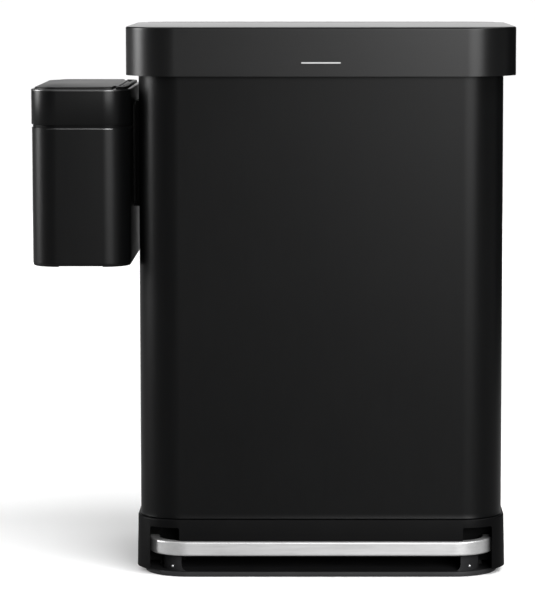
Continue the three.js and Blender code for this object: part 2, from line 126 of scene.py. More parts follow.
def softbox(name, centre, target, width, height, watts, spread=180):
    """A rectangular lamp that faces its target and is not seen itself."""
    lamp = bpy.data.lights.new(name, "AREA")
    lamp.shape = "RECTANGLE"
    lamp.size = width
    lamp.size_y = height
    lamp.energy = watts
    lamp.spread = math.radians(spread)
    lamp_object = bpy.data.objects.new(name, lamp)
    lamp_object.location = centre
    aim = Vector(target) - Vector(centre)
    lamp_object.rotation_euler = aim.to_track_quat("-Z", "Y").to_euler()
    lamp_object.visible_camera = False
    scene.collection.objects.link(lamp_object)


def distant_light(name, strength, spread, turn):
    """Light from far away, from straight above unless it is turned."""
    sun = bpy.data.lights.new(name, "SUN")
    sun.energy = strength
    sun.angle = math.radians(spread)
    sun_object = bpy.data.objects.new(name, sun)
    sun_object.rotation_euler = [math.radians(part) for part in turn]
    scene.collection.objects.link(sun_object)


softbox("front_softbox", (can_x + 1.6, -4.2, 1.38), (can_x + 0.3, 0, 0.60), 2.6, 1.65, 260)
softbox("left_softbox", (can_x - 2.4, 0.15, 1.05), (can_x, 0, 0.58), 0.9, 1.3, 7, spread=44)
softbox("back_panel", (can_x, 5.0, 1.75), (can_x, 0, 0.65), 2.4, 2.1, 28)
distant_light("overhead_key", 2.0, 28, (18, 34, 0))
distant_light("overhead_fill", 1.7, 100, (0, 0, 0))

flag_height = 1.6
flag_form = bmesh.new()
flag_foot = [flag_form.verts.new((can_x + 1.6, 0.3, 0)), flag_form.verts.new((can_x + 0.9, 2.4, 0))]
flag_rise = bmesh.ops.extrude_edge_only(flag_form, edges=[flag_form.edges.new(flag_foot)])["geom"]
flag_top = [part for part in flag_rise if isinstance(part, bmesh.types.BMVert)]
bmesh.ops.translate(flag_form, vec=(0, 0, flag_height), verts=flag_top)
flag_finish, _, flag_shader, _ = new_finish("black_cloth")
flag_shader.inputs["Base Color"].default_value = (0.002, 0.002, 0.002, 1)
flag_shader.inputs["Roughness"].default_value = 1.0
flag = stage_piece(flag_form, "black_flag", flag_finish)
flag.visible_camera = False
flag.visible_diffuse = False
flag.visible_shadow = False


# ---------------------------------------------------------------- shell of the can
# One wrap of thin stainless sheet with a satin black coat, seam-welded up the middle of its back.
# Its foot flares out a little over the last few millimetres, just above the base.
def box_form(low, high):
    """A plain closed block, used to cut with or as a starting shape."""
    form = bmesh.new()
    bmesh.ops.create_cube(form, size=1)
    low, high = Vector(low), Vector(high)
    bmesh.ops.scale(form, vec=high - low, verts=form.verts)
    bmesh.ops.translate(form, vec=(low + high) / 2, verts=form.verts)
    return form


def round_off(form, edges, radius, segments):
    """Rounds the given edges."""
    bmesh.ops.bevel(form, geom=edges, offset=radius, offset_type="OFFSET", segments=segments,
                    profile=0.5, affect="EDGES", material=-1)


def rounded_block(low, high, corner, segments=20):
    """A closed block whose four upright corners are round."""
    form = box_form(low, high)
    upright = [e for e in form.edges if abs(e.verts[0].co.z - e.verts[1].co.z) > 1e-4]
    round_off(form, upright, corner, segments)
    return form


def open_ends(form, top=True, bottom=True):
    """Takes off the flat end faces."""
    form.normal_update()
    ends = [f for f in form.faces if (top and f.normal.z > 0.9) or (bottom and f.normal.z < -0.9)]
    bmesh.ops.delete(form, geom=ends, context="FACES")


def slice_at(form, heights, axis=2):
    """Adds a row of edges all round at each height."""
    for height in heights:
        point = Vector((0, 0, 0))
        point[axis] = height
        normal = Vector((0, 0, 0))
        normal[axis] = 1
        geometry = form.verts[:] + form.edges[:] + form.faces[:]
        bmesh.ops.bisect_plane(form, geom=geometry, dist=1e-6, plane_co=point, plane_no=normal)


crease = 38


def place(form, name, finish, body, slot, *nodes, turned=crease):
    """Makes the finished form an object that rides on a body and stands for CAD nodes."""
    bmesh.ops.remove_doubles(form, verts=form.verts, dist=1e-6)
    mesh = bpy.data.meshes.new(name)
    form.to_mesh(mesh)
    form.free()
    mesh.shade_smooth()
    mesh.set_sharp_from_angle(angle=math.radians(turned))
    made = bpy.data.objects.new(name, mesh)
    scene.collection.objects.link(made)
    mesh.materials.append(finish)
    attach(made, body)
    if nodes:
        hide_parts(*nodes)
    return made


def settle(made):
    """Makes the live modifiers part of the mesh, and marks the sharp edges again."""
    bpy.context.view_layer.update()
    shaped = made.evaluated_get(bpy.context.evaluated_depsgraph_get())
    mesh = bpy.data.meshes.new_from_object(shaped)
    made.modifiers.clear()
    made.data = mesh
    mesh.name = made.name
    mesh.set_sharp_from_angle(angle=math.radians(crease))


def thicken(made, wall):
    """Gives an open sheet its wall, inwards from the modelled face."""
    wall_maker = made.modifiers.new("wall", "SOLIDIFY")
    wall_maker.thickness = wall
    wall_maker.offset = -1
    wall_maker.use_even_offset = True
    settle(made)


def soften(made, width, segments=2, limit=40):
    """Breaks sharp edges with a small round."""
    edge_maker = made.modifiers.new("edges", "BEVEL")
    edge_maker.width = width
    edge_maker.segments = segments
    edge_maker.limit_method = "ANGLE"
    edge_maker.angle_limit = math.radians(limit)
    edge_maker.harden_normals = True


def new_group(name, numbers, results):
    """A shader group with a vector input, named number inputs and named outputs."""
    group = bpy.data.node_groups.new(name, "ShaderNodeTree")
    group.interface.new_socket("Vector", in_out="INPUT", socket_type="NodeSocketVector")
    for label, value in numbers:
        socket = group.interface.new_socket(label, in_out="INPUT", socket_type="NodeSocketFloat")
        socket.default_value = value
    for label in results:
        group.interface.new_socket(label, in_out="OUTPUT", socket_type="NodeSocketFloat")
    return group, group.nodes.new("NodeGroupInput"), group.nodes.new("NodeGroupOutput")


def math_node(tree, operation, first, second):
    """A math node on two values, each a socket or a number."""
    node = tree.nodes.new("ShaderNodeMath")
    node.operation = operation
    for socket, value in zip(node.inputs, (first, second)):
        if isinstance(value, (int, float)):
            socket.default_value = value
        else:
            tree.links.new(value, socket)
    return node.outputs[0]


def noise_node(tree, vector, scale, detail=3.0, roughness=0.5):
    """A noise texture's mask."""
    node = tree.nodes.new("ShaderNodeTexNoise")
    node.inputs["Detail"].default_value = detail
    node.inputs["Roughness"].default_value = roughness
    if isinstance(scale, (int, float)):
        node.inputs["Scale"].default_value = scale
    else:
        tree.links.new(scale, node.inputs["Scale"])
    tree.links.new(vector, node.inputs["Vector"])
    return node.outputs["Fac"]


def brushed_grain_group():
    """Fine parallel scratches: noise squeezed along the stretch of each axis."""
    numbers = [("Stretch X", 1.0), ("Stretch Y", 1.0), ("Stretch Z", 1.0), ("Scale", 900.0)]
    group, given, result = new_group("brushed_grain", numbers, ["Mask", "Height"])
    combine = group.nodes.new("ShaderNodeCombineXYZ")
    for axis, label in zip("XYZ", ("Stretch X", "Stretch Y", "Stretch Z")):
        group.links.new(given.outputs[label], combine.inputs[axis])
    squeeze = group.nodes.new("ShaderNodeVectorMath")
    squeeze.operation = "MULTIPLY"
    group.links.new(given.outputs["Vector"], squeeze.inputs[0])
    group.links.new(combine.outputs[0], squeeze.inputs[1])
    fine = noise_node(group, squeeze.outputs[0], given.outputs["Scale"], 4.0, 0.65)
    coarse_scale = math_node(group, "MULTIPLY", given.outputs["Scale"], 0.22)
    coarse = noise_node(group, squeeze.outputs[0], coarse_scale, 2.0, 0.5)
    both = math_node(group, "ADD", math_node(group, "MULTIPLY", fine, 0.65),
                     math_node(group, "MULTIPLY", coarse, 0.35))
    group.links.new(both, result.inputs["Mask"])
    group.links.new(both, result.inputs["Height"])
    return group


def handling_group():
    """Broad, faint cloudiness from wiping, and sparse specks of dust."""
    group, given, result = new_group("handling", [("Size", 5.0), ("Dust", 0.5)], ["Smudge", "Dust"])
    cloud = noise_node(group, given.outputs["Vector"], given.outputs["Size"], 5.0, 0.6)
    group.links.new(cloud, result.inputs["Smudge"])
    specks = group.nodes.new("ShaderNodeTexVoronoi")
    specks.feature = "F1"
    specks.inputs["Scale"].default_value = 260
    group.links.new(given.outputs["Vector"], specks.inputs["Vector"])
    near = math_node(group, "LESS_THAN", specks.outputs["Distance"], 0.11)
    patchy = math_node(group, "GREATER_THAN", noise_node(group, given.outputs["Vector"], 38.0, 2.0), 0.60)
    dust = math_node(group, "MULTIPLY", math_node(group, "MULTIPLY", near, patchy), given.outputs["Dust"])
    group.links.new(dust, result.inputs["Dust"])
    return group


brushed_grain = brushed_grain_group()
handling = handling_group()


def use_group(tree, group, coords, **values):
    """Places a shared group in a material with its own values."""
    node = tree.nodes.new("ShaderNodeGroup")
    node.node_tree = group
    tree.links.new(coords, node.inputs["Vector"])
    for label, value in values.items():
        node.inputs[label.replace("_", " ")].default_value = value
    return node


def ranged(tree, value, low, high):
    """Maps a mask from 0..1 to low..high."""
    node = tree.nodes.new("ShaderNodeMapRange")
    node.inputs["To Min"].default_value = low
    node.inputs["To Max"].default_value = high
    tree.links.new(value, node.inputs["Value"])
    return node.outputs["Result"]


def two_tone(tree, mask, first, second):
    """Mixes two colours by a mask."""
    node = tree.nodes.new("ShaderNodeMix")
    node.data_type = "RGBA"
    node.inputs["A"].default_value = (*first, 1)
    node.inputs["B"].default_value = (*second, 1)
    tree.links.new(mask, node.inputs["Factor"])
    return node.outputs["Result"]


def bump_from(tree, shader, height, distance, strength=1.0):
    """Feeds a height through a Bump node to the shader's normal."""
    node = tree.nodes.new("ShaderNodeBump")
    node.inputs["Distance"].default_value = distance
    node.inputs["Strength"].default_value = strength
    tree.links.new(height, node.inputs["Height"])
    tree.links.new(node.outputs["Normal"], shader.inputs["Normal"])


def dusted(tree, tone, dust, grey):
    """Lays specks of grey dust over a colour."""
    node = tree.nodes.new("ShaderNodeMix")
    node.data_type = "RGBA"
    tree.links.new(tone, node.inputs["A"])
    node.inputs["B"].default_value = (grey, grey, grey, 1)
    tree.links.new(dust, node.inputs["Factor"])
    return node.outputs["Result"]


def black_steel(name, across=(1.0, 1.0, 0.035), shine=0.10):
    """Satin black coated stainless sheet; the brushing under the coat still shows faintly."""
    finish, tree, shader, coords = new_finish(name)
    grain = use_group(tree, brushed_grain, coords, Stretch_X=across[0], Stretch_Y=across[1],
                      Stretch_Z=across[2], Scale=1500.0)
    wiped = use_group(tree, handling, coords, Size=6.0, Dust=0.06)
    tone = two_tone(tree, grain.outputs["Mask"], (0.0010, 0.00105, 0.0011), (0.0027, 0.0028, 0.0029))
    tree.links.new(dusted(tree, tone, wiped.outputs["Dust"], 0.07), shader.inputs["Base Color"])
    rough = math_node(tree, "ADD", ranged(tree, grain.outputs["Mask"], 0.27, 0.38),
                      ranged(tree, wiped.outputs["Smudge"], -0.03, 0.05))
    tree.links.new(rough, shader.inputs["Roughness"])
    shader.inputs["Specular IOR Level"].default_value = shine
    bump_from(tree, shader, grain.outputs["Height"], 0.00002, 0.35)
    return finish


shell_finish = black_steel("black_steel_shell")
shell_low, shell_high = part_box("outer_shell")
shell_flare = 0.003
foot_flare = 0.0005
flare_height = 0.006
flare_rows = 8
shell_corner = 0.049
shell_sheet = 0.0012
shell_form = rounded_block((shell_low.x + shell_flare, shell_low.y + shell_flare, shell_low.z),
                           (shell_high.x - shell_flare, shell_high.y - shell_flare, shell_high.z),
                           shell_corner, 24)
open_ends(shell_form)
slice_at(shell_form, [shell_low.z + flare_height * row / flare_rows for row in range(1, flare_rows + 1)])
slice_at(shell_form, [shell_low.z + 0.10, shell_low.z + 0.30])
shell_form.normal_update()
for vertex in shell_form.verts:
    drop = max(0.0, 1 - (vertex.co.z - shell_low.z) / flare_height)
    outward = Vector((vertex.normal.x, vertex.normal.y, 0)).normalized()
    vertex.co += outward * foot_flare * drop * drop
shell = place(shell_form, "shell_wrap", shell_finish, "can", "black_steel", "outer_shell")
thicken(shell, shell_sheet)

seam_half, seam_stand = 0.0016, 0.0004
shell_back = shell_high.y - shell_flare
seam_form = rounded_block((can_x - seam_half, shell_back - seam_stand, shell_low.z + 0.012),
                          (can_x + seam_half, shell_back + seam_stand, lid_low.z + 0.008), seam_stand, 2)
place(seam_form, "shell_weld_seam", shell_finish, "can", "black_steel")


# ---------------------------------------------------------------- lid skin
# A deep-drawn stainless lid that overhangs the shell all round, with a tight round along its top edge,
# and a folded hem along the bottom of its band. Its rear edge curls down round the hinge line.
def round_edges_at(form, height, radius, segments=4):
    """Rounds the edge between the upright walls and the flat face at one height."""
    form.normal_update()
    rim = [e for e in form.edges
           if all(abs(v.co.z - height) < 1e-5 for v in e.verts) and len(e.link_faces) == 2
           and e.calc_face_angle() > 0.7]
    round_off(form, rim, radius, segments)


def cut_away(form, point, normal):
    """Removes what lies on the normal's side of a plane and leaves the cut open."""
    geometry = form.verts[:] + form.edges[:] + form.faces[:]
    bmesh.ops.bisect_plane(form, geom=geometry, dist=1e-6, plane_co=point, plane_no=normal, clear_outer=True)


lid_joint = next(joint for joint in frame["joints"] if joint["name"] == "lid_hinge")
hinge_y, hinge_z = lid_joint["pos_m"][1], lid_joint["pos_m"][2]
nose = lid_high.z - hinge_z
lid_corner = 0.060
lid_top_round = 0.0022
lid_sheet = 0.0016
house_low, house_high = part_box("hinge_housing")
lid_finish = black_steel("black_steel_lid", (0.035, 1.0, 1.0), 0.20)
lid_form = rounded_block(lid_low, (lid_high.x, house_high.y, lid_high.z), lid_corner, 28)
open_ends(lid_form, top=False)
round_edges_at(lid_form, lid_high.z, lid_top_round)
cut_away(lid_form, (0, hinge_y + nose, 0), (0, 1, 0))
slice_at(lid_form, [hinge_y + nose * step / 8 for step in range(8)], axis=1)
slice_at(lid_form, [hinge_z + nose * step / 8 for step in range(7)])
for vertex in lid_form.verts:
    past = Vector((0, vertex.co.y - hinge_y, vertex.co.z - hinge_z))
    if past.y > 0 and past.z > 0 and past.length > nose:
        past = past.normalized() * nose
        vertex.co.y = hinge_y + past.y
        vertex.co.z = hinge_z + past.z
lid_skin = place(lid_form, "lid_skin", lid_finish, "lid", "black_steel", "lid_outer")
thicken(lid_skin, lid_sheet)

hem_inset, hem_rise, hem_wall = 0.0002, 0.0026, 0.0030
hem_form = rounded_block((lid_low.x + hem_inset, lid_low.y + hem_inset, lid_low.z),
                         (lid_high.x - hem_inset, house_high.y - hem_inset, lid_low.z + hem_rise),
                         lid_corner, 28)
open_ends(hem_form)
cut_away(hem_form, (0, hinge_y + nose - 2 * hem_inset, 0), (0, 1, 0))
hem = place(hem_form, "lid_hem", lid_finish, "lid", "black_steel")
thicken(hem, hem_wall)
soften(hem, 0.0011, 3)


# ---------------------------------------------------------------- maker's bar on the lid
# A plain etched bar, a hair proud of the lid's front, where such cans carry a printed mark.
bar_finish, bar_tree, bar_shader, bar_coords = new_finish("etched_bar")
bar_grain = use_group(bar_tree, brushed_grain, bar_coords, Stretch_X=0.05, Scale=1800.0)
bar_tree.links.new(two_tone(bar_tree, bar_grain.outputs["Mask"], (0.22, 0.22, 0.22), (0.40, 0.40, 0.40)),
                   bar_shader.inputs["Base Color"])
bar_tree.links.new(ranged(bar_tree, bar_grain.outputs["Mask"], 0.35, 0.5), bar_shader.inputs["Roughness"])
bar_shader.inputs["Metallic"].default_value = 0.6
bar_half, bar_height, bar_rise = 0.023, 0.0016, 0.0150
bar_stand, bar_sink = 0.0002, 0.0004
bar_form = box_form((can_x - bar_half, lid_low.y - bar_stand, lid_low.z + bar_rise),
                    (can_x + bar_half, lid_low.y + bar_sink, lid_low.z + bar_rise + bar_height))
round_off(bar_form, [e for e in bar_form.edges if e.calc_length() < 0.001], 0.0007, 6)
place(bar_form, "lid_bar", bar_finish, "lid", "brushed_steel")


# ---------------------------------------------------------------- hinge housing
# A fixed moulded cap behind the lid, to the lid's own outline, that hides the hinge blocks and the rods.
# It is screwed to the top frame from inside, and carries the same satin black coat as the lid.
def slice_off(form, point, normal):
    """Cuts a closed form with a plane, drops what lies on the normal's side and closes the cut."""
    geometry = form.verts[:] + form.edges[:] + form.faces[:]
    cut = bmesh.ops.bisect_plane(form, geom=geometry, dist=1e-6, plane_co=point, plane_no=normal,
                                 clear_outer=True)
    rim = [part for part in cut["geom_cut"] if isinstance(part, bmesh.types.BMEdge)]
    bmesh.ops.edgeloop_fill(form, edges=rim)
    bmesh.ops.recalc_face_normals(form, faces=form.faces)


def carve(made, *cutters):
    """Cuts closed forms out of a placed piece, one after the other."""
    for cutter_form in cutters:
        bmesh.ops.recalc_face_normals(cutter_form, faces=cutter_form.faces)
        cutter_mesh = bpy.data.meshes.new("cutter")
        cutter_form.to_mesh(cutter_mesh)
        cutter_form.free()
        cutter = bpy.data.objects.new("cutter", cutter_mesh)
        scene.collection.objects.link(cutter)
        knife = made.modifiers.new("knife", "BOOLEAN")
        knife.operation = "DIFFERENCE"
        knife.solver = "EXACT"
        knife.object = cutter
        settle(made)
        bpy.data.objects.remove(cutter)


frame_low, frame_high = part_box("top_frame")
house_wall, house_face = 0.002, 0.0025


def house_block(inset, bottom, top, segments=28):
    """The outline that lid and housing share, inset by a margin."""
    return rounded_block((lid_low.x + inset, lid_low.y + inset, bottom),
                         (lid_high.x - inset, house_high.y - inset, top), lid_corner - inset, segments)


house_form = house_block(0, lid_low.z, lid_high.z)
round_edges_at(house_form, lid_high.z, lid_top_round)
slice_off(house_form, (0, house_low.y, 0), (0, -1, 0))
house = place(house_form, "hinge_cover", lid_finish, "can", "black_plastic", "hinge_housing")
house_room = house_block(house_wall, lid_low.z - 0.01, lid_high.z - house_face)
slice_off(house_room, (0, house_low.y + house_face, 0), (0, -1, 0))
carve(house, house_room,
      rounded_block((shell_low.x + shell_flare - 0.001, shell_low.y, lid_low.z - 0.02),
                    (shell_high.x - shell_flare + 0.001, shell_high.y - shell_flare + 0.001,
                     frame_high.z + 0.0004), 0.050, 20))
soften(house, 0.0006, 2, 50)


# ---------------------------------------------------------------- moulded plastics
# Black and grey injection-moulded plastic with a fine spark-eroded texture, used on the base, the frames,
# the buckets and the small mechanism parts.
def moulded_texture_group():
    """The fine, even grain of a textured mould."""
    group, given, result = new_group("moulded_texture", [("Scale", 1400.0)], ["Mask", "Height"])
    fine = noise_node(group, given.outputs["Vector"], given.outputs["Scale"], 2.0, 0.6)
    broad_scale = math_node(group, "MULTIPLY", given.outputs["Scale"], 0.018)
    broad = noise_node(group, given.outputs["Vector"], broad_scale, 3.0, 0.5)
    group.links.new(broad, result.inputs["Mask"])
    group.links.new(fine, result.inputs["Height"])
    return group


moulded_texture = moulded_texture_group()


def plastic(name, dark, light, rough_low, rough_high, grain=1400.0, dust=0.5, shine=0.12):
    """Textured moulded plastic."""
    finish, tree, shader, coords = new_finish(name)
    texture = use_group(tree, moulded_texture, coords, Scale=grain)
    wiped = use_group(tree, handling, coords, Size=9.0, Dust=dust)
    tone = two_tone(tree, texture.outputs["Mask"], dark, light)
    tree.links.new(dusted(tree, tone, wiped.outputs["Dust"], 0.12), shader.inputs["Base Color"])
    tree.links.new(ranged(tree, wiped.outputs["Smudge"], rough_low, rough_high), shader.inputs["Roughness"])
    shader.inputs["Specular IOR Level"].default_value = shine
    bump_from(tree, shader, texture.outputs["Height"], 0.00006, 0.35)
    return finish


black_plastic = plastic("black_plastic", (0.0014, 0.0014, 0.0015), (0.0030, 0.0030, 0.0031), 0.46, 0.58,
                        dust=0.08)
grey_plastic = plastic("grey_plastic", (0.040, 0.042, 0.045), (0.060, 0.062, 0.066), 0.45, 0.60)


# ---------------------------------------------------------------- base skirt
# The moulded plinth that the shell stands in, rounded along its top edge under the shell's foot. A wide
# doorway in front lets the pedal travel, with a notch above each end of the bar. A dark plastic shield
# behind each notch closes off the view into the base and stands in for the shade inside it.
base_corner = 0.052
doorway_half, doorway_top = 0.203, 0.0435
notch_inner, notch_top = 0.168, 0.059
base_wall, base_ledge = 0.003, 0.018
base_flare = 0.0012
seam_gap = 0.0008
base_top = base_high.z - seam_gap
base_form = rounded_block((base_low.x + base_flare, base_low.y + base_flare, base_low.z),
                          (base_high.x - base_flare, base_high.y - base_flare, base_top), base_corner, 24)
round_edges_at(base_form, base_top, 0.0016)
base_form.normal_update()
for vertex in base_form.verts:
    share = (base_high.z - vertex.co.z) / (base_high.z - base_low.z)
    outward = Vector((vertex.normal.x, vertex.normal.y, 0))
    if outward.length > 0.3:
        vertex.co += outward.normalized() * base_flare * share
base_plastic = plastic("base_plastic", (0.0010, 0.0010, 0.0011), (0.0021, 0.0021, 0.0022), 0.44, 0.56,
                       dust=0.02, shine=0.05)
base = place(base_form, "base_plinth", base_plastic, "can", "black_plastic", "base_skirt")


def inset_block(low, high, inset, bottom, top, corner, segments=16):
    """A round-cornered block inside another one's outline."""
    return rounded_block((low.x + inset, low.y + inset, bottom), (high.x - inset, high.y - inset, top),
                         corner - inset, segments)


def edges_front_to_back(form, height):
    """The edges at one height that run from front to back."""
    return [e for e in form.edges if all(abs(v.co.z - height) < 1e-5 for v in e.verts)
            and abs(e.verts[0].co.x - e.verts[1].co.x) < 1e-6]


def front_cutter(from_x, to_x, low, high, corner, segments):
    """A block through the front wall with its two upper corners rounded."""
    form = box_form((from_x, base_low.y - 0.02, low), (to_x, -0.110, high))
    round_off(form, edges_front_to_back(form, high), corner, segments)
    return form


def notch_cutter(side):
    """The slot above one end of the pedal bar."""
    from_x, to_x = sorted((can_x + side * notch_inner, can_x + side * doorway_half))
    return front_cutter(from_x, to_x, doorway_top - 0.012, notch_top, 0.0025, 5)


carve(base,
      inset_block(base_low, base_high, base_wall, base_low.z - 0.01, base_high.z - base_wall, base_corner, 24),
      inset_block(base_low, base_high, base_ledge, base_high.z - 0.01, base_high.z + 0.01, base_corner),
      front_cutter(can_x - doorway_half, can_x + doorway_half, base_low.z - 0.02, doorway_top, 0.0020, 6),
      notch_cutter(-1), notch_cutter(1))
soften(base, 0.0007, 2, 45)
# Dark sheets behind the notches stand in for the shade inside the base.
shield_front, shield_back, shield_foot = -0.0985, -0.0955, 0.010
for number, side in enumerate((-1, 1), 1):
    from_x, to_x = sorted((can_x + side * (notch_inner - 0.006), can_x + side * (doorway_half + 0.009)))
    shield_form = box_form((from_x, shield_front, shield_foot), (to_x, shield_back, base_high.z - base_wall))
    shield = place(shield_form, f"notch_shade_shield_{number}", base_plastic, "can", "black_plastic")
    soften(shield, 0.0005, 2, 45)


# ---------------------------------------------------------------- bottom tray
# The moulded floor of the base: a shallow dish whose lip shows as a thin line under the pedal, with a
# raised wall behind each end of the bar. A steel rivet holds each wall's end to the axle bracket.
tray_low, tray_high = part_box("bottom_tray")
pedal_low, pedal_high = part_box("pedal_bar")
tray_corner, tray_wall = 0.052, 0.0025
tray_lip_top, tray_floor = 0.006, 0.0048
tray_finish = plastic("tray_plastic", (0.012, 0.012, 0.0125), (0.020, 0.020, 0.021), 0.42, 0.55)
tray_form = rounded_block(tray_low, (tray_high.x, tray_high.y, tray_lip_top), tray_corner, 20)
round_edges_at(tray_form, tray_lip_top, 0.0008, 2)
tray = place(tray_form, "tray_dish", tray_finish, "can", "black_plastic", "bottom_tray")
carve(tray, inset_block(tray_low, tray_high, tray_wall, tray_floor, 0.02, tray_corner, 20))
wall_back, wall_thick, wall_top = 0.0165, 0.0035, 0.023
bar_corner = 0.048
wall_form = rounded_block((pedal_low.x + wall_back, pedal_low.y + wall_back, tray_floor),
                          (pedal_high.x - wall_back, pedal_low.y + wall_back + 0.12, wall_top),
                          bar_corner - wall_back, 16)
slice_off(wall_form, (0, pedal_high.y + 0.006, 0), (0, 1, 0))
walls = place(wall_form, "tray_corner_walls", tray_finish, "can", "black_plastic")
toe_half, toe_floor = 0.166, 0.0040
toe_cutter = box_form((can_x - toe_half, -0.20, toe_floor), (can_x + toe_half, 0.0, 0.05))
round_off(toe_cutter, edges_front_to_back(toe_cutter, toe_floor), 0.009, 8)
carve(walls,
      rounded_block((pedal_low.x + wall_back + wall_thick, pedal_low.y + wall_back + wall_thick, -0.01),
                    (pedal_high.x - wall_back - wall_thick, pedal_low.y + wall_back + 0.2, 0.05),
                    bar_corner - wall_back - wall_thick, 16),
      toe_cutter)
soften(walls, 0.0006, 2, 45)


# ---------------------------------------------------------------- pedal
# A strip of stainless sheet bent round a moulded core into a long bar whose ends sweep back into the base.
# It is brushed along its length, and its long edges are rounded by the bend.
def metal(name, dark, light, rough_low, rough_high, stretch, scale=1300.0, metallic=1.0):
    """Bare metal with a brushed grain."""
    finish, tree, shader, coords = new_finish(name)
    grain = use_group(tree, brushed_grain, coords, Stretch_X=stretch[0], Stretch_Y=stretch[1],
                      Stretch_Z=stretch[2], Scale=scale)
    wiped = use_group(tree, handling, coords, Size=22.0)
    tree.links.new(two_tone(tree, grain.outputs["Mask"], dark, light), shader.inputs["Base Color"])
    rough = math_node(tree, "ADD", ranged(tree, grain.outputs["Mask"], rough_low, rough_high),
                      ranged(tree, wiped.outputs["Smudge"], -0.05, 0.07))
    tree.links.new(rough, shader.inputs["Roughness"])
    shader.inputs["Metallic"].default_value = metallic
    bump_from(tree, shader, grain.outputs["Height"], 0.00008, 0.5)
    return finish


pedal_finish = metal("brushed_pedal", (0.33, 0.33, 0.33), (0.60, 0.60, 0.60), 0.30, 0.48, (0.03, 1.0, 1.0),
                     metallic=0.7)
bar_depth, bar_run, cut_run, cut_top = 0.012, 0.20, 0.30, 0.08
wrap_form = rounded_block(pedal_low, (pedal_high.x, pedal_low.y + bar_run, pedal_high.z), bar_corner, 24)
slice_off(wrap_form, (0, pedal_high.y, 0), (0, 1, 0))
wrap = place(wrap_form, "pedal_wrap", pedal_finish, "pedal", "brushed_steel", "pedal_bar")
carve(wrap, rounded_block((pedal_low.x + bar_depth, pedal_low.y + bar_depth, 0),
                          (pedal_high.x - bar_depth, pedal_low.y + cut_run, cut_top),
                          bar_corner - bar_depth, 24))
soften(wrap, 0.0022, 4, 45)
core_inset = 0.0018
core_start, core_stop = bar_depth - 0.001, bar_depth + 0.002
core_form = rounded_block((pedal_low.x + core_start, pedal_low.y + core_start, pedal_low.z + core_inset),
                          (pedal_high.x - core_start, pedal_low.y + bar_run, pedal_high.z - core_inset),
                          bar_corner - bar_depth, 24)
slice_off(core_form, (0, pedal_high.y + 0.001, 0), (0, 1, 0))
core = place(core_form, "pedal_backing", black_plastic, "pedal", "black_plastic", "pedal_core")
carve(core, rounded_block((pedal_low.x + core_stop, pedal_low.y + core_stop, 0),
                          (pedal_high.x - core_stop, pedal_low.y + cut_run, cut_top),
                          bar_corner - core_stop, 24))


# ---------------------------------------------------------------- caddy sleeve and collar
# The small bin's steel sleeve and its separate upper collar, both in the can's satin black, with a moulded
# groove between them; its band's darker, duller base plastic is partly painted shade. The top edge of each
# is rolled into a narrow hem that shines more, and a moulded cap closes the collar behind the lid's hinge.
caddy_low, caddy_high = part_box("caddy_collar")
sleeve_low, sleeve_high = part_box("caddy_shell")
groove_drop = 0.0025
sleeve_high.z -= groove_drop
caddy_corner = 0.032
groove_height = 0.0035
collar_low_z = sleeve_high.z + groove_height
caddy_lid_low, caddy_lid_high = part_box("caddy_lid")
lid_rise = 0.003
caddy_high.z = caddy_lid_high.z - lid_rise
caddy_finish = black_steel("black_steel_caddy", shine=0.12)
sleeve_form = rounded_block(sleeve_low, sleeve_high, caddy_corner - 0.0006, 20)
open_ends(sleeve_form)
sleeve = place(sleeve_form, "caddy_sleeve", caddy_finish, "caddy", "black_steel", "caddy_shell")
thicken(sleeve, 0.0014)
soften(sleeve, 0.0006, 3, 60)

collar_form = rounded_block((caddy_low.x, caddy_low.y, collar_low_z), caddy_high, caddy_corner, 20)
round_edges_at(collar_form, caddy_high.z, 0.0016, 4)
round_edges_at(collar_form, collar_low_z, 0.0006, 2)
collar = place(collar_form, "caddy_collar_ring", caddy_finish, "caddy", "black_steel", "caddy_collar")
lid_joint_caddy = next(joint for joint in frame["joints"] if joint["name"] == "caddy_lid_hinge")
caddy_hinge_x, caddy_hinge_z = lid_joint_caddy["pos_m"][0], lid_joint_caddy["pos_m"][2]
barrel_half, barrel_gap, shoulder = 0.090, 0.001, 0.006
collar_wall, collar_ledge = 0.0030, 0.0060
seat_floor = caddy_low.z + 0.031
seat_form = inset_block(caddy_low, caddy_high, collar_wall, seat_floor, caddy_high.z + 0.01, caddy_corner)
slice_off(seat_form, (caddy_hinge_x - shoulder + 0.001, 0, 0), (1, 0, 0))
barrel_room = box_form((caddy_hinge_x - 0.010, -barrel_half - barrel_gap, seat_floor),
                       (caddy_hinge_x + 0.0059, barrel_half + barrel_gap, caddy_high.z + 0.01))
collar_room = inset_block(caddy_low, caddy_high, collar_ledge, caddy_low.z - 0.02, caddy_high.z - 0.008,
                          caddy_corner)
carve(collar, collar_room, seat_form, barrel_room)

cap_start = caddy_hinge_x - 0.0016
cap_form = inset_block(caddy_low, caddy_high, 0.0040, caddy_high.z - 0.0005, caddy_lid_high.z, caddy_corner)
round_edges_at(cap_form, caddy_lid_high.z, 0.0010, 3)
slice_off(cap_form, (cap_start, 0, 0), (-1, 0, 0))
cap = place(cap_form, "caddy_hinge_cap", black_plastic, "caddy", "black_plastic")
carve(cap, box_form((caddy_hinge_x - 0.02, -barrel_half - barrel_gap, 0.5),
                    (caddy_hinge_x + shoulder, barrel_half + barrel_gap, 0.7)))
soften(cap, 0.0005, 2, 50)

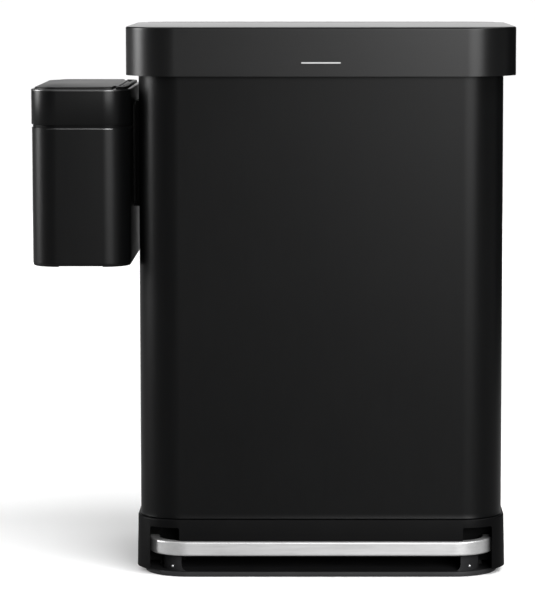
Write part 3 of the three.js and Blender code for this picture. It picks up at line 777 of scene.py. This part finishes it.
hem_finish = black_steel("black_steel_hem", shine=1.0)
hem_stand, hem_height, hem_width = 0.0002, 0.0018, 0.0018
for hem_name, hem_low, hem_high in (("caddy_collar_hem", caddy_low, caddy_high),
                                    ("caddy_sleeve_hem", sleeve_low, sleeve_high)):
    hem_top = hem_high.z + hem_stand
    hem_form = inset_block(hem_low, hem_high, -hem_stand, hem_top - hem_height, hem_top, caddy_corner)
    round_edges_at(hem_form, hem_top, 0.0012, 4)
    hem = place(hem_form, hem_name, hem_finish, "caddy", "black_steel")
    carve(hem, inset_block(hem_low, hem_high, hem_width, hem_top - 0.01, hem_top + 0.01, caddy_corner))

groove_depth, groove_wall = 0.0018, 0.001
groove_form = inset_block(caddy_low, caddy_high, groove_depth, sleeve_high.z - 0.008, collar_low_z + 0.004,
                          caddy_corner)
open_ends(groove_form)
# The band's darker, duller base plastic stands in partly for the shade in the groove.
groove = place(groove_form, "caddy_groove_band", base_plastic, "caddy", "black_plastic")
thicken(groove, groove_wall)


# ---------------------------------------------------------------- caddy base
# The moulded foot plate that closes the sleeve from below. It has rounded lower edges and a shallow
# finger recess across the middle.
foot_low, foot_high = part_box("caddy_base")
foot_form = rounded_block(foot_low, (foot_high.x, foot_high.y, sleeve_low.z - 0.0002),
                          caddy_corner - 0.001, 20)
round_edges_at(foot_form, foot_low.z, 0.0022, 4)
foot = place(foot_form, "caddy_foot", black_plastic, "caddy", "black_plastic", "caddy_base")
caddy_mid = (caddy_low.x + caddy_high.x) / 2
recess_half, recess_depth = 0.026, 0.0010
carve(foot, box_form((caddy_mid - recess_half, caddy_low.y - 0.01, foot_low.z - 0.01),
                     (caddy_mid + recess_half, caddy_high.y + 0.01, foot_low.z + recess_depth)))


# ---------------------------------------------------------------- caddy lid
# A flat moulded panel that stands a little proud of the collar, with a seal round its underside. Its free
# end is eased down slightly for a thumb, and a barrel along the other end turns on the hinge pin.
panel_finish = plastic("caddy_lid_plastic", (0.003, 0.003, 0.0031), (0.006, 0.006, 0.0062), 0.42, 0.54,
                       grain=1800.0, dust=0.1)
panel_edge, panel_inset, panel_sink = 0.0042, 0.004, 0.004
panel_start = max(caddy_lid_low.x, caddy_low.x + panel_edge)
panel_corner = caddy_corner - panel_inset
panel_form = rounded_block((panel_start, caddy_lid_low.y, caddy_high.z - panel_sink),
                           (caddy_high.x - panel_inset, caddy_lid_high.y, caddy_lid_high.z), panel_corner, 16)
round_edges_at(panel_form, caddy_lid_high.z, 0.0010, 3)
slice_off(panel_form, (caddy_hinge_x, 0, 0), (1, 0, 0))
lip_length, lip_drop, lip_rows = 0.020, 0.0005, 8
lip_cuts = [caddy_lid_low.x + lip_length * row / lip_rows for row in range(1, lip_rows + 1)]
slice_at(panel_form, lip_cuts, axis=0)
for vertex in panel_form.verts:
    along = 1 - (vertex.co.x - caddy_lid_low.x) / lip_length
    if along > 0 and vertex.co.z > caddy_high.z - 0.001:
        eased = min(1.0, 2 * along)
        vertex.co.z -= lip_drop * eased * eased * (3 - 2 * eased)
panel = place(panel_form, "caddy_lid_panel", panel_finish, "caddy_lid", "black_plastic", "caddy_lid")
for side in (-1, 1):
    ends = sorted((side * barrel_half, side * 0.2))
    carve(panel, box_form((caddy_hinge_x - shoulder, ends[0], 0.5), (caddy_hinge_x + 0.02, ends[1], 0.6)))

seal_end = caddy_hinge_x - shoulder
seal_far = Vector((caddy_high.x - panel_inset, caddy_lid_high.y, 0))
seal_form = inset_block(caddy_lid_low, seal_far, 0.0010, caddy_lid_low.z + 0.001, caddy_high.z - 0.0035,
                        panel_corner)
slice_off(seal_form, (seal_end, 0, 0), (1, 0, 0))
seal = place(seal_form, "caddy_lid_seal", black_plastic, "caddy_lid", "black_plastic")
carve(seal, inset_block(caddy_lid_low, Vector((seal_end, caddy_lid_high.y, 0)), 0.0035,
                        caddy_lid_low.z - 0.01, caddy_high.z - 0.0055, panel_corner, 12))
soften(seal, 0.0006, 2, 50)


def drum(radius, length, axis, centre, segments):
    """A closed round bar lying along the model's X or Y axis."""
    form = bmesh.new()
    bmesh.ops.create_cone(form, cap_ends=True, segments=segments, radius1=radius, radius2=radius,
                          depth=length)
    turn = Matrix.Rotation(math.pi / 2, 3, "Y" if axis == "X" else "X")
    bmesh.ops.rotate(form, cent=(0, 0, 0), matrix=turn, verts=form.verts)
    bmesh.ops.translate(form, vec=centre, verts=form.verts)
    return form


caddy_nose = 0.0045
barrel_form = drum(caddy_nose, 2 * barrel_half - barrel_gap, "Y", (caddy_hinge_x, 0, caddy_hinge_z), 40)
barrel = place(barrel_form, "caddy_lid_barrel", panel_finish, "caddy_lid", "black_plastic")
soften(barrel, 0.0008, 2, 50)


# ---------------------------------------------------------------- caddy bucket
# The lift-out bucket inside the caddy: thin grey plastic, drawn in slightly towards its floor, with a
# rolled lip round its mouth.
rim_thick = 0.0022


def bucket_shell(name, low, high, corner, wall, draw, lip, body, *nodes):
    """An open bucket whose walls taper to the floor, with its lip as a separate rolled edge."""
    form = rounded_block(low, high, corner, 14)
    round_edges_at(form, low[2], 0.010, 5)
    open_ends(form, bottom=False)
    middle_x, middle_y = (low[0] + high[0]) / 2, (low[1] + high[1]) / 2
    for vertex in form.verts:
        share = draw * (high[2] - vertex.co.z) / (high[2] - low[2])
        vertex.co.x += (middle_x - vertex.co.x) * share / ((high[0] - low[0]) / 2)
        vertex.co.y += (middle_y - vertex.co.y) * share / ((high[1] - low[1]) / 2)
    made = place(form, name, grey_plastic, body, "grey_plastic", *nodes)
    thicken(made, wall)
    rim_form = rounded_block((low[0] - lip, low[1] - lip, high[2] - rim_thick),
                             (high[0] + lip, high[1] + lip, high[2]), corner + lip, 14)
    rim = place(rim_form, name + "_rim", grey_plastic, body, "grey_plastic")
    carve(rim, rounded_block((low[0] + wall, low[1] + wall, high[2] - 0.02),
                             (high[0] - wall, high[1] - wall, high[2] + 0.02), corner - wall, 14))
    soften(rim, 0.0008, 3, 45)


small_low, small_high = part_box("caddy_bucket")
bucket_shell("caddy_bucket_shell", small_low, small_high, 0.024, 0.0016, 0.003, 0.0, "caddy", "caddy_bucket")


# ---------------------------------------------------------------- inner bucket and bag ring
# The big lift-out bucket of grey plastic hangs by its rim on the top frame. A bright steel ring lies on
# the rim and holds the bag's mouth.
big_low, big_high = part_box("inner_bucket")
bucket_lip = 0.006
bucket_shell("refuse_bucket", Vector((big_low.x + bucket_lip, big_low.y + bucket_lip, big_low.z)),
             Vector((big_high.x - bucket_lip, big_high.y - bucket_lip, big_high.z)), 0.034, 0.002, 0.008,
             bucket_lip, "can", "inner_bucket")

plain_steel = metal("plain_steel", (0.30, 0.305, 0.31), (0.46, 0.465, 0.47), 0.30, 0.46,
                    stretch=(1.0, 1.0, 0.08), scale=900.0)
ring_low, ring_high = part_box("liner_rim")
ring_corner, ring_width = 0.039, 0.008
ring_form = rounded_block(ring_low, ring_high, ring_corner, 16)
round_edges_at(ring_form, ring_high.z, 0.0012, 3)
ring = place(ring_form, "bag_ring", plain_steel, "can", "plain_steel", "liner_rim")
carve(ring, inset_block(ring_low, ring_high, ring_width, ring_low.z - 0.01, ring_high.z + 0.01, ring_corner))
soften(ring, 0.0009, 3, 45)


# ---------------------------------------------------------------- tray rivets
# One bright steel rivet with a domed head near the front end of each raised wall of the tray.
rivet_x, rivet_z, rivet_radius = 0.1766, 0.0098, 0.0021
wall_round = bar_corner - wall_back
reach = rivet_x - ((pedal_high.x - pedal_low.x) / 2 - bar_corner)
rivet_y = pedal_low.y + bar_corner - math.sqrt(wall_round ** 2 - reach ** 2)
for side, word in ((-1, "left"), (1, "right")):
    rivet_form = bmesh.new()
    bmesh.ops.create_uvsphere(rivet_form, u_segments=24, v_segments=12, radius=rivet_radius)
    bmesh.ops.scale(rivet_form, vec=(1, 0.5, 1), verts=rivet_form.verts)
    bmesh.ops.translate(rivet_form, vec=(can_x + side * rivet_x, rivet_y, rivet_z), verts=rivet_form.verts)
    place(rivet_form, "tray_rivet_" + word, plain_steel, "can", "plain_steel", turned=80)


# ---------------------------------------------------------------- top frame
# The moulded frame clipped into the shell's mouth. It caps the raw edge of the steel, carries the bucket,
# and leaves two slots at the back for the lift rod and the damper rod.
deck_form = rounded_block((frame_low.x, frame_low.y, shell_high.z + 0.0003), frame_high, shell_corner, 24)
round_edges_at(deck_form, frame_high.z, 0.0010, 3)
deck = place(deck_form, "frame_deck", black_plastic, "can", "black_plastic", "top_frame")
mouth_inset, mouth_corner = 0.003, 0.037
under_deck, over_deck = 0.5, 0.7
carve(deck, rounded_block((big_low.x + mouth_inset, big_low.y + mouth_inset, under_deck),
                          (big_high.x - mouth_inset, big_high.y - mouth_inset, over_deck), mouth_corner, 16))
slot_room_x, slot_room_y = 0.006, 0.0034
for rod_name in ("lift_rod", "damper_rod"):
    rod_low, rod_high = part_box(rod_name)
    carve(deck, box_form((rod_low.x - slot_room_x, rod_low.y - slot_room_y, under_deck),
                         (rod_high.x + slot_room_x, rod_high.y + slot_room_y, over_deck)))
skirt_inset, skirt_wall = 0.0018, 0.0025
skirt_form = inset_block(frame_low, frame_high, skirt_inset, frame_low.z, shell_high.z + 0.0006,
                         shell_corner, 24)
open_ends(skirt_form)
thicken(place(skirt_form, "frame_skirt", black_plastic, "can", "black_plastic"), skirt_wall)


# ---------------------------------------------------------------- lid liner
# The moulded pan under the lid skin. Its floor sits just over the bag ring, with a raised border and
# stiffening ribs, and a barrel along its rear edge turns on the two hinge pins.
liner_wall, liner_inset = 0.002, 0.0020
pan_floor, pan_rear, plate_bottom = 0.624, 0.082, 0.6452
liner_form = house_block(liner_inset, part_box("lid_liner")[0].z, lid_high.z - 0.0022, 24)
slice_off(liner_form, (0, hinge_y, 0), (0, 1, 0))
liner = place(liner_form, "lid_pan", black_plastic, "lid", "black_plastic", "lid_liner")


def liner_room(front, rear, low, high):
    """The liner's inside outline between two depths and two heights."""
    form = house_block(liner_inset + liner_wall, low, high, 20)
    if front is not None:
        slice_off(form, (0, front, 0), (0, -1, 0))
    slice_off(form, (0, rear, 0), (0, 1, 0))
    return form


carve(liner,
      liner_room(None, pan_rear, 0.55, pan_floor),
      liner_room(pan_rear - 0.001, hinge_y + 0.01, 0.55, plate_bottom),
      liner_room(None, pan_rear - liner_wall, pan_floor + liner_wall, 0.70))
left_low, left_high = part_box("hinge_block_left")
right_low, right_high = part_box("hinge_block_right")
block_gap = 0.002
for block_low, block_high in ((left_low, left_high), (right_low, right_high)):
    carve(liner, box_form((block_low.x - block_gap, hinge_y - 0.009, 0.60),
                          (block_high.x + block_gap, hinge_y + 0.02, 0.70)))
soften(liner, 0.0005, 2, 50)

barrel_reach = (lid_high.x - lid_low.x) / 2 - 0.0165
stretches = [(can_x - barrel_reach, left_low.x - block_gap),
             (left_high.x + block_gap, right_low.x - block_gap),
             (right_high.x + block_gap, can_x + barrel_reach)]
for number, (start, stop) in enumerate(stretches, 1):
    tube_form = drum(nose - liner_inset, stop - start, "X", ((start + stop) / 2, hinge_y, hinge_z), 48)
    tube = place(tube_form, f"lid_barrel_{number}", black_plastic, "lid", "black_plastic")
    soften(tube, 0.0006, 2, 50)

rib_count, rib_pitch, rib_half = 5, 0.072, 0.003
for number in range(rib_count):
    rib_x = can_x + (number - (rib_count - 1) / 2) * rib_pitch
    rib_form = box_form((rib_x - rib_half, -0.115, pan_floor - 0.0022),
                        (rib_x + rib_half, 0.060, pan_floor + 0.0004))
    rib_ends = [e for e in rib_form.edges if abs(e.verts[0].co.z - e.verts[1].co.z) > 1e-5]
    round_off(rib_form, rib_ends, 0.0028, 5)
    rib = place(rib_form, f"lid_pan_rib_{number + 1}", black_plastic, "lid", "black_plastic")
    soften(rib, 0.0008, 2, 45)


# ---------------------------------------------------------------- mechanism and small parts
# Rods, pins, arms and hinge blocks are zinc-plated steel; guides, roller and rod foot are grey plastic;
# the feet and lid bumpers are black rubber. These keep their modelled shapes and get their finishes here.
rubber = plastic("soft_rubber", (0.010, 0.010, 0.010), (0.018, 0.018, 0.018), 0.78, 0.92, 700.0, 0.8)
slot_finish = {"plain_steel": plain_steel, "grey_plastic": grey_plastic, "black_plastic": black_plastic,
               "rubber": rubber, "black_steel": shell_finish, "brushed_steel": pedal_finish}
for row in frame["record"]["subparts"]:
    for material_slot in frame["nodes"][row["node"]].material_slots:
        material_slot.material = slot_finish[row["material_slot"]]
